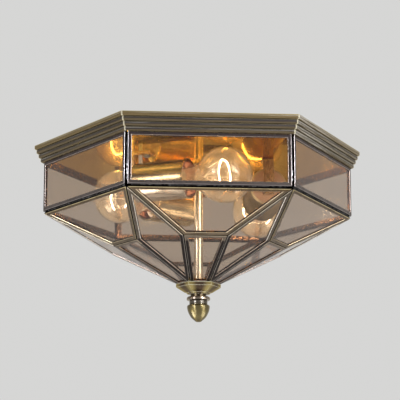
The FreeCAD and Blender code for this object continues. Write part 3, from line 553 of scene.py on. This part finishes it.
def solder_metal():
    """Solder in the grooves: mostly black patina, with bright silvery tops on its lumps, more of them
    low on the side frames, near the waist."""
    patina, bare = (0.022, 0.02, 0.02), (0.8, 0.8, 0.82)
    dark_share, bright_share = 0.62, 0.15
    waist_solder_depth, waist_solder_height = 1.0 * millimetre, 2.0 * millimetre
    material, tree, output = new_material("solder")
    place = object_place(tree)
    lumps = noise(tree, place, scale=420.0)
    low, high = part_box("side_frames")
    _, _, height = split(tree, place)
    tall = high.z - low.z
    near_waist = remap(tree, height, low.z + dark_share * tall, low.z + bright_share * tall)
    upper = remap(tree, height, low.z - waist_solder_depth, low.z + waist_solder_height)
    silver = product(tree, remap(tree, lumps, 0.46, 0.56), near_waist, upper)
    silver = math_node(tree, "MAXIMUM", silver, remap(tree, lumps, 0.6, 0.7, 0.0, 0.35))
    principled(tree, output, Base_Color=mix_colour(tree, silver, patina, bare), Metallic=1.0,
               Roughness=remap(tree, lumps, 0.4, 0.65, 0.55, 0.3),
               Normal=bump(tree, lumps, strength=0.2, distance=0.4 * millimetre))
    return material


# Glass

def let_light_through(tree, output, shader, tint):
    """Mix a glass shader with a see-through one for shadow rays."""
    through = tree.nodes.new("ShaderNodeBsdfTransparent")
    put(through.inputs[0], tint)
    mixer = tree.nodes.new("ShaderNodeMixShader")
    put(mixer.inputs[0], tree.nodes.new("ShaderNodeLightPath").outputs["Is Shadow Ray"])
    put(mixer.inputs[1], shader.outputs[0])
    put(mixer.inputs[2], through.outputs[0])
    tree.links.new(mixer.outputs[0], output.inputs[0])


def clear_pane():
    """Flat clear glass with a faint smoky tint and a little dust. Lamp light passes straight through."""
    material, tree, output = new_material("clear pane glass")
    dust = noise(tree, object_place(tree), scale=520.0, detail=4.0, roughness=0.7)
    shader = principled(tree, output, Base_Color=(0.67, 0.585, 0.505), IOR=1.3, Transmission_Weight=1.0,
                        Roughness=remap(tree, dust, 0.6, 0.82, 0.0, 0.2))
    let_light_through(tree, output, shader, (0.93, 0.91, 0.88))
    return material


def blown_glass():
    """Bulb glass: faintly amber and rippled, with a fine haze that spreads the filament's glow, and a faint
    painted glow of the glass itself.
    """
    clear, amber_rim = (0.97, 0.915, 0.8), (0.74, 0.6, 0.42)
    material, tree, output = new_material("bulb glass")
    place = object_place(tree)
    haze = noise(tree, place, scale=2600.0, detail=1.0)
    ripple = noise(tree, place, scale=55.0, detail=2.0)
    facing = tree.nodes.new("ShaderNodeLayerWeight").outputs["Facing"]
    colour = mix_colour(tree, remap(tree, facing, 0.62, 0.96), clear, amber_rim)
    # Painted glow: the glass itself gives off a faint warm light.
    shader = principled(tree, output, Base_Color=colour, IOR=1.47, Transmission_Weight=1.0,
                        Emission_Color=(1.0, 0.72, 0.4), Emission_Strength=bulb_glow,
                        Coat_Weight=1.0, Coat_Roughness=0.12,
                        Roughness=remap(tree, haze, 0.62, 0.68, 0.0, 0.34),
                        Normal=bump(tree, ripple, strength=0.12, distance=1.2 * millimetre))
    let_light_through(tree, output, shader, (0.97, 0.95, 0.91))
    return material


# Small materials

def plain_finish(name, colour, dark, metallic, roughness, scale):
    """A finish with soft patches of a second colour."""
    material, tree, output = new_material(name)
    patches = noise(tree, object_place(tree), scale)
    principled(tree, output, Base_Color=mix_colour(tree, remap(tree, patches, 0.35, 0.65), dark, colour),
               Metallic=metallic, Roughness=remap(tree, patches, *noise_range, roughness + 0.08, roughness),
               Normal=bump(tree, patches, strength=0.1, distance=0.3 * millimetre))
    return material


def glowing_filament():
    """White-hot wire."""
    orange_white, yellow_white = (1.0, 0.84, 0.61), (1.0, 0.92, 0.76)
    material, tree, output = new_material("lit filament")
    ripple = noise(tree, object_place(tree), scale=1500.0, detail=1.0)
    principled(tree, output, Base_Color=(0.35, 0.3, 0.25), Metallic=1.0, Roughness=0.4,
               Emission_Color=mix_colour(tree, ripple, orange_white, yellow_white),
               Emission_Strength=filament_strength)
    return material


def lit_wire():
    """The wires that hold the filament, with a faint painted glow that stands for the filament's light on
    them.
    """
    light, dark = (0.6, 0.58, 0.55), (0.3, 0.28, 0.26)
    material, tree, output = new_material("filament support wire")
    patches = noise(tree, object_place(tree), scale=400.0)
    # Painted light: the wires glow faintly as if lit by the filament.
    principled(tree, output, Base_Color=mix_colour(tree, patches, light, dark), Metallic=1.0,
               Roughness=0.35, Emission_Color=(1.0, 0.76, 0.48), Emission_Strength=wire_glow)
    return material


def paint(material, *names):
    """Give CAD nodes a material."""
    for name in names:
        for slot in nodes[name].material_slots:
            slot.material = material


def numbered(name, count):
    return [name + "_" + str(index + 1) for index in range(count)]


# Pieces that stand for plain CAD nodes

def new_piece(name, vertices, faces, material, body, slot, *replaced):
    """A smooth mesh piece that rides on a body and stands for CAD nodes."""
    mesh = bpy.data.meshes.new(name)
    mesh.from_pydata([tuple(vertex) for vertex in vertices], [], faces)
    mesh.validate()
    mesh.materials.append(material)
    for polygon in mesh.polygons:
        polygon.use_smooth = True
    piece = bpy.data.objects.new(name, mesh)
    bpy.context.scene.collection.objects.link(piece)
    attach(piece, body)
    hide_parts(*replaced)
    return piece


def add_tube(vertices, faces, points, radius, sides):
    """A round tube along points, with closed ends, added to lists of vertices and faces."""
    first = len(vertices)
    across = (points[1] - points[0]).orthogonal().normalized()
    for index, point in enumerate(points):
        before, after = points[max(index - 1, 0)], points[min(index + 1, len(points) - 1)]
        direction = (after - before).normalized()
        across = (across - direction * across.dot(direction)).normalized()
        other = direction.cross(across)
        for side in range(sides):
            angle = 2 * math.pi * side / sides
            vertices.append(point + (across * math.cos(angle) + other * math.sin(angle)) * radius)
    for ring in range(len(points) - 1):
        for side in range(sides):
            start, after = first + ring * sides, (side + 1) % sides
            faces.append((start + side, start + after, start + sides + after, start + sides + side))
    last = first + (len(points) - 1) * sides
    faces.append(tuple(first + side for side in reversed(range(sides))))
    faces.append(tuple(last + side for side in range(sides)))


def bulb_axis(lamp):
    """The point where a bulb's axis starts, and the axis toward the bulb's tip."""
    joint_name = "bulb_" + str(lamp + 1) + "_turn"
    joint = next(joint for joint in frame["joints"] if joint["name"] == joint_name)
    return Vector(joint["pos_m"]), Vector(joint["axis"]).normalized()


def filament_pieces(lamp, hot, cold):
    """The coiled wire bent to an open loop across the bulb, and the wires that hold it."""
    number = str(lamp + 1)
    node = "bulb_filament_" + number
    body = "bulb_" + number
    start, axis = bulb_axis(lamp)
    offsets = [vertex.co - start for vertex in nodes[node].data.vertices]
    reaches = [offset.dot(axis) for offset in offsets]
    loop_radius = max((offset - axis * offset.dot(axis)).length for offset in offsets) - filament_wire
    middle = start + axis * (max(reaches) - filament_wire)
    foot = start + axis * (min(reaches) - wire_in_stem)
    upward = (Vector(upright) - axis * axis.z).normalized()

    def on_loop(share):
        """A point of the loop: it sags inward a little between its holding wires."""
        turn = math.radians(filament_arc) * (share - 0.5)
        sag = filament_sag * math.sin(math.pi * share * (filament_wires - 1)) ** 2
        return middle + Quaternion(axis, turn) @ upward * (loop_radius - sag)

    count = int(math.radians(filament_arc) * loop_radius / coil_pitch) * coil_points
    path = []
    for index in range(count + 1):
        point = on_loop(index / count)
        out = (point - middle).normalized()
        twist = 2 * math.pi * index / coil_points
        path.append(point + (out * math.cos(twist) + axis * math.sin(twist)) * coil_radius)
    vertices, faces = [], []
    add_tube(vertices, faces, path, coil_wire, coil_wire_sides)
    new_piece("filament_coil_" + number, vertices, faces, hot, body, "filament_metal", node)
    vertices, faces = [], []
    steps = [step / wire_steps for step in range(wire_steps + 1)]
    for index in range(filament_wires):
        end = on_loop(index / (filament_wires - 1))
        bend = foot.lerp(end, wire_bend_share) + axis * wire_bow
        arc = [foot.lerp(bend, step).lerp(bend.lerp(end, step), step) for step in steps]
        add_tube(vertices, faces, arc, holding_wire, holding_wire_sides)
    new_piece("filament_wires_" + number, vertices, faces, cold, body, "filament_metal", node)


def seam_ends(island):
    """The two end triangles of one plain seam, each with its inner corner first."""
    points = [vertex.co.copy() for vertex in island]
    first = max(points, key=lambda point: (point - points[0]).length)
    points.sort(key=lambda point: (point - first).length)
    heart = Vector((0, 0, object_middle))
    ends = []
    for triangle in (points[:3], points[3:]):
        triangle.sort(key=lambda point: (point - heart).length)
        ends.append(triangle)
    near, far = ends
    if (far[1] - far[0]).dot(near[1] - near[0]) < (far[2] - far[0]).dot(near[1] - near[0]):
        far[1], far[2] = far[2], far[1]
    return near, far


def add_bead(vertices, faces, near, far):
    """One bead: fans of points round the groove's inner corner, with lumps along its length."""
    length = (far[0] - near[0]).length
    leg = (near[1] - near[0]).length
    first_way, last_way = (near[1] - near[0]).normalized(), (near[2] - near[0]).normalized()
    steps = max(int(length / bead_step), 2)
    ring = bead_fan + 2
    first = len(vertices)
    for step in range(steps + 1):
        corner = near[0].lerp(far[0], step / steps)
        to_end = min(step, steps - step) / steps * length
        taper = math.sqrt(min(to_end / bead_taper + bead_tip_share, 1.0))
        vertices.append(corner)
        for index in range(bead_fan + 1):
            way = first_way.lerp(last_way, index / bead_fan).normalized()
            lump = lump_share * value_noise.noise((corner + way * leg) * lump_scale)
            fine = fine_lump_share * value_noise.noise((corner + way * leg) * lump_scale * fine_lump_ratio)
            vertices.append(corner + way * leg * taper * (bead_fill_share + lump + fine))
    for step in range(steps):
        for index in range(ring):
            after = (index + 1) % ring
            start = first + step * ring
            faces.append((start + index, start + after, start + ring + after, start + ring + index))
    faces.append(tuple(first + index for index in reversed(range(ring))))
    faces.append(tuple(first + steps * ring + index for index in range(ring)))


def solder_beads(material):
    """Lumpy beads of solder along the grooves, one on each plain seam."""
    source = bmesh.new()
    source.from_mesh(nodes["solder_seams"].data)
    bmesh.ops.remove_doubles(source, verts=source.verts, dist=weld_distance)
    vertices, faces = [], []
    left = set(source.verts)
    for seed in list(source.verts):
        if seed not in left:
            continue
        island, waiting = [], [seed]
        left.discard(seed)
        while waiting:
            vertex = waiting.pop()
            island.append(vertex)
            for edge in vertex.link_edges:
                other = edge.other_vert(vertex)
                if other in left:
                    left.discard(other)
                    waiting.append(other)
        add_bead(vertices, faces, *seam_ends(island))
    source.free()
    new_piece("solder_beads", vertices, faces, material, "cage", "solder", "solder_seams")


# Cornice and frames. The colours of a bar are those of its face, its painted groove-edge highlight and its
# painted window-edge highlight.

paint(cornice_brass(), "cornice")
waist_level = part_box("side_frames")[0].z
rail_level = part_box("upper_frames")[0].z
# The sets of bar colours differ by region, copying the light and shade there: lit and shaded copies of one
# brass.
side_bars = (shown(0.27, 0.24, 0.24), shown(0.62, 0.6, 0.6), shown(0.6, 0.55, 0.52))
low_side_bars = (shown(0.36, 0.33, 0.32), shown(0.5, 0.47, 0.46), shown(0.58, 0.53, 0.5))
waist_bars = (shown(0.36, 0.29, 0.21), shown(0.77, 0.71, 0.55), shown(0.52, 0.43, 0.31))
olive_bars = (shown(0.38, 0.33, 0.27), shown(0.52, 0.47, 0.37), shown(0.66, 0.6, 0.5))
kite_bars = (shown(0.36, 0.32, 0.28), shown(0.55, 0.52, 0.46), shown(0.84, 0.81, 0.77))
rail_bars = (shown(0.4, 0.355, 0.31), shown(0.6, 0.55, 0.47), shown(0.7, 0.62, 0.53))
dark_bars = (shown(0.14, 0.12, 0.115), shown(0.5, 0.47, 0.44), shown(0.52, 0.46, 0.41))
brown_wall, grey_wall = (0.3, 0.2, 0.13), (0.44, 0.41, 0.39)
frame_looks = (("side", sector / 2, waist_level + bar_drop, side_bars, low_side_bars, brown_wall),
               ("upper", sector / 2, waist_level - bar_drop, waist_bars, olive_bars, brown_wall),
               ("kite", 0.0, rail_level, kite_bars, dark_bars, grey_wall),
               ("lower", sector / 2, rail_level - bar_drop, rail_bars, dark_bars, brown_wall))
for kind, middle, level, above, below, wall in frame_looks:
    bar_brass = frame_brass(kind + " frame brass", kind + "_pane_1", middle, level, above, below, wall)
    paint(bar_brass, kind + "_frames")

# Cap, washer, knob and rod

# Painted shade: the cap's neck below its lip is darkened, and the knob's collar darker and greyer.
neck_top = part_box("cage_cap")[0].z + cap_neck_height
neck_shade = (neck_top + shade_blend, neck_top - shade_blend, 0.95, shown(0.17, 0.13, 0.08))
collar_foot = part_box("finial_knob")[1].z - knob_collar_height
collar_shade = (collar_foot - shade_blend, collar_foot + shade_blend, 0.7, shown(0.27, 0.25, 0.23))
paint(worn_brass("cap antique brass", shown(0.24, 0.19, 0.15), shown(0.36, 0.29, 0.22),
                 shown(0.9, 0.87, 0.78), roughness=0.22, edge_radius=0.9 * millimetre, lacquer=0.15,
                 corner=shown(0.55, 0.49, 0.31), shade_band=neck_shade), "cage_cap")
paint(worn_brass("washer antique brass", shown(0.36, 0.31, 0.26), shown(0.48, 0.43, 0.37),
                 shown(0.88, 0.86, 0.8), roughness=0.26, edge_radius=0.6 * millimetre, lacquer=0.4,
                 turned=0.6), "finial_washer")
paint(worn_brass("knob antique brass", shown(0.28, 0.235, 0.11), shown(0.38, 0.335, 0.19),
                 shown(0.84, 0.8, 0.66), roughness=0.3, edge_radius=0.5 * millimetre, lacquer=0.7,
                 turned=0.75, shade_band=collar_shade), "finial_knob")
paint(brushed_brass("rod brass", (0.84, 0.76, 0.62), (0.94, 0.88, 0.74), upright, 0.24, grain=0.05),
      "centre_rod")

# Lamps. Each sleeve has its dark and light brass, its roughness and the colour of its underside, a painted
# reflection where given.

# The sleeves' rim colour is a painted shade on their mouths.
sleeve_rim_shade, sleeve_lining, sleeve_underside_reflection = (0.12, 0.07, 0.04), (0.52, 0.27, 0.18), (0.96, 0.92, 0.82)
# The second sleeve's lighter brass is a lit copy of the same brass: painted light.
sleeve_looks = (((0.34, 0.27, 0.15), (0.44, 0.36, 0.225), 0.22, sleeve_underside_reflection),
                ((0.58, 0.47, 0.29), (0.8, 0.68, 0.45), 0.22, None),
                ((0.34, 0.27, 0.15), (0.44, 0.36, 0.225), 0.33, None))
for lamp, (dark, light, roughness, underside) in enumerate(sleeve_looks):
    core, axis = bulb_axis(lamp)
    number = str(lamp + 1)
    paint(brushed_brass("sleeve brass " + number, dark, light, axis, roughness, sleeve_rim_shade, core,
                        sleeve_lining, edge_radius=1.0 * millimetre, underside=underside),
          "lamp_sleeve_" + number)
    # Painted highlight: the strips' bright edge colour.
    paint(brushed_brass("strip brass " + number, (0.42, 0.25, 0.11), (0.58, 0.39, 0.19), upright, 0.26,
                        edge=(0.9, 0.74, 0.46), edge_radius=1.0 * millimetre),
          "lamp_strip_" + number)

# Pan, panes, bulbs and solder

paint(mirror_brass(), "ceiling_pan")
pane_glass = clear_pane()
for kind in ("side_pane", "upper_pane", "kite_pane", "lower_pane"):
    paint(pane_glass, *numbered(kind, side_count))
paint(blown_glass(), *numbered("bulb_glass", lamp_count))
hot_wire = glowing_filament()
cold_wire = lit_wire()
for lamp in range(lamp_count):
    filament_pieces(lamp, hot_wire, cold_wire)
solder_beads(solder_metal())

# Small pieces: light and dark colour, share of metal, roughness, scale of the patches, and nodes

small_looks = (
    ("bulb cap metal", (0.72, 0.7, 0.66), (0.5, 0.47, 0.42), 1.0, 0.3, 200.0,
     numbered("bulb_cap", lamp_count)),
    ("zinc plate", (0.62, 0.62, 0.6), (0.45, 0.45, 0.44), 1.0, 0.35, 120.0,
     ["ceiling_strap", "pan_screws"]),
    ("contact brass", (0.7, 0.55, 0.28), (0.5, 0.38, 0.18), 1.0, 0.3, 150.0,
     ["lamp_fixings", "holder_contacts", "rod_nuts"]),
    ("unglazed ceramic", (0.88, 0.86, 0.8), (0.78, 0.75, 0.68), 0.0, 0.7, 120.0,
     numbered("lamp_holder", lamp_count)),
    ("glazed ceramic", (0.9, 0.89, 0.85), (0.82, 0.8, 0.75), 0.0, 0.2, 60.0, ["lead_connectors"]),
    ("woven sleeving", (0.8, 0.78, 0.72), (0.6, 0.57, 0.5), 0.0, 0.8, 1800.0, ["lamp_leads"]))
for name, light, dark, metallic, roughness, scale, painted in small_looks:
    paint(plain_finish(name, light, dark, metallic, roughness, scale), *painted)


# Studio

def seen_rays(tree):
    """One for what the camera, metal and glass see, and zero for what lights the object."""
    path = tree.nodes.new("ShaderNodeLightPath").outputs
    seen = math_node(tree, "MAXIMUM", path["Is Camera Ray"], path["Is Transmission Ray"])
    return math_node(tree, "MAXIMUM", seen, path["Is Glossy Ray"])


def pale_stage(size, depth, lift):
    """A wide pale floor below the lantern, at the depth of a room, lifted to the surround's level."""
    bpy.ops.mesh.primitive_plane_add(size=size, location=(0, 0, -depth))
    floor = bpy.context.object
    floor.name = "floor"
    material, tree, output = new_material("pale floor")
    principled(tree, output, Base_Color=(0.8, 0.79, 0.77), Roughness=0.9,
               Emission_Color=(0.8, 0.8, 0.79), Emission_Strength=product(tree, seen_rays(tree), lift))
    floor.data.materials.append(material)


def background(tree, colour, strength):
    node = tree.nodes.new("ShaderNodeBackground")
    put(node.inputs[0], colour)
    put(node.inputs[1], strength)
    return node.outputs[0]


def pale_world():
    """A pale surround for what the camera, metal and glass see, and a softer one as light."""
    world = bpy.data.worlds.new("studio")
    bpy.context.scene.world = world
    world.use_nodes = True
    tree = world.node_tree
    tree.nodes.clear()
    output = tree.nodes.new("ShaderNodeOutputWorld")
    mixer = tree.nodes.new("ShaderNodeMixShader")
    put(mixer.inputs[0], seen_rays(tree))
    put(mixer.inputs[1], background(tree, (0.9, 0.92, 0.95), strength=0.45))
    put(mixer.inputs[2], background(tree, (0.86, 0.86, 0.85), strength=0.78))
    tree.links.new(mixer.outputs[0], output.inputs[0])


def soft_box(name, place, target, width, height, power, colour):
    lamp = bpy.data.lights.new(name, "AREA")
    lamp.shape = "RECTANGLE"
    lamp.size = width
    lamp.size_y = height
    lamp.energy = power
    lamp.color = colour
    holder = bpy.data.objects.new(name, lamp)
    bpy.context.scene.collection.objects.link(holder)
    holder.location = place
    holder.rotation_euler = (Vector(target) - Vector(place)).to_track_quat("-Z", "Y").to_euler()


def camera(yaw, pitch, distance, target_height, lens, shift):
    """The photograph's view: from below and a little to the left of the front."""
    target = Vector((0, 0, target_height))
    back = Vector((math.sin(yaw) * math.cos(pitch), -math.cos(yaw) * math.cos(pitch), -math.sin(pitch)))
    data = bpy.data.cameras.new("camera")
    data.lens = lens
    data.sensor_width = 36.0
    data.shift_x = shift
    data.clip_start = 0.01
    holder = bpy.data.objects.new("camera", data)
    bpy.context.scene.collection.objects.link(holder)
    holder.location = target + back * distance
    holder.rotation_euler = (-back).to_track_quat("-Z", "Y").to_euler()
    bpy.context.scene.camera = holder


pale_stage(size=80.0, depth=2.4, lift=0.4)
pale_world()

# Soft lights: place, target, width, height, watts and colour
heart = (0, 0, -0.09)
deep = (0, 0, -0.9)
soft_box("key light", (0.95, -1.6, 0.4), heart, 0.5, 0.7, 11.0, (1.0, 0.98, 0.95))
soft_box("left strip", (-1.27, -1.27, -0.9), deep, 0.42, 2.7, 15.0, (0.98, 0.98, 1.0))
soft_box("right strip", (1.47, -1.03, -0.9), deep, 0.46, 2.7, 19.0, (1.0, 0.99, 0.97))
soft_box("left window", (-1.32, -1.14, 0.09), heart, 0.3, 0.4, 12.0, (0.82, 0.88, 1.0))
soft_box("right window", (1.12, -1.34, 0.09), heart, 0.3, 0.4, 9.0, (0.82, 0.88, 1.0))
soft_box("low left light", (-1.29, -0.07, -1.34), heart, 0.8, 0.8, 20.0, (1.0, 1.0, 1.0))
soft_box("low right light", (1.29, -0.07, -1.34), heart, 0.8, 0.8, 9.0, (1.0, 0.99, 0.97))
soft_box("top light", (-0.3, 0.5, 1.7), heart, 1.0, 1.0, 10.0, (1.0, 1.0, 1.0))

camera(yaw=math.radians(-4.6), pitch=math.radians(12.0), distance=1.7798, target_height=-0.05864,
       lens=143.1, shift=0.004)
bpy.context.scene.view_settings.view_transform = "Standard"
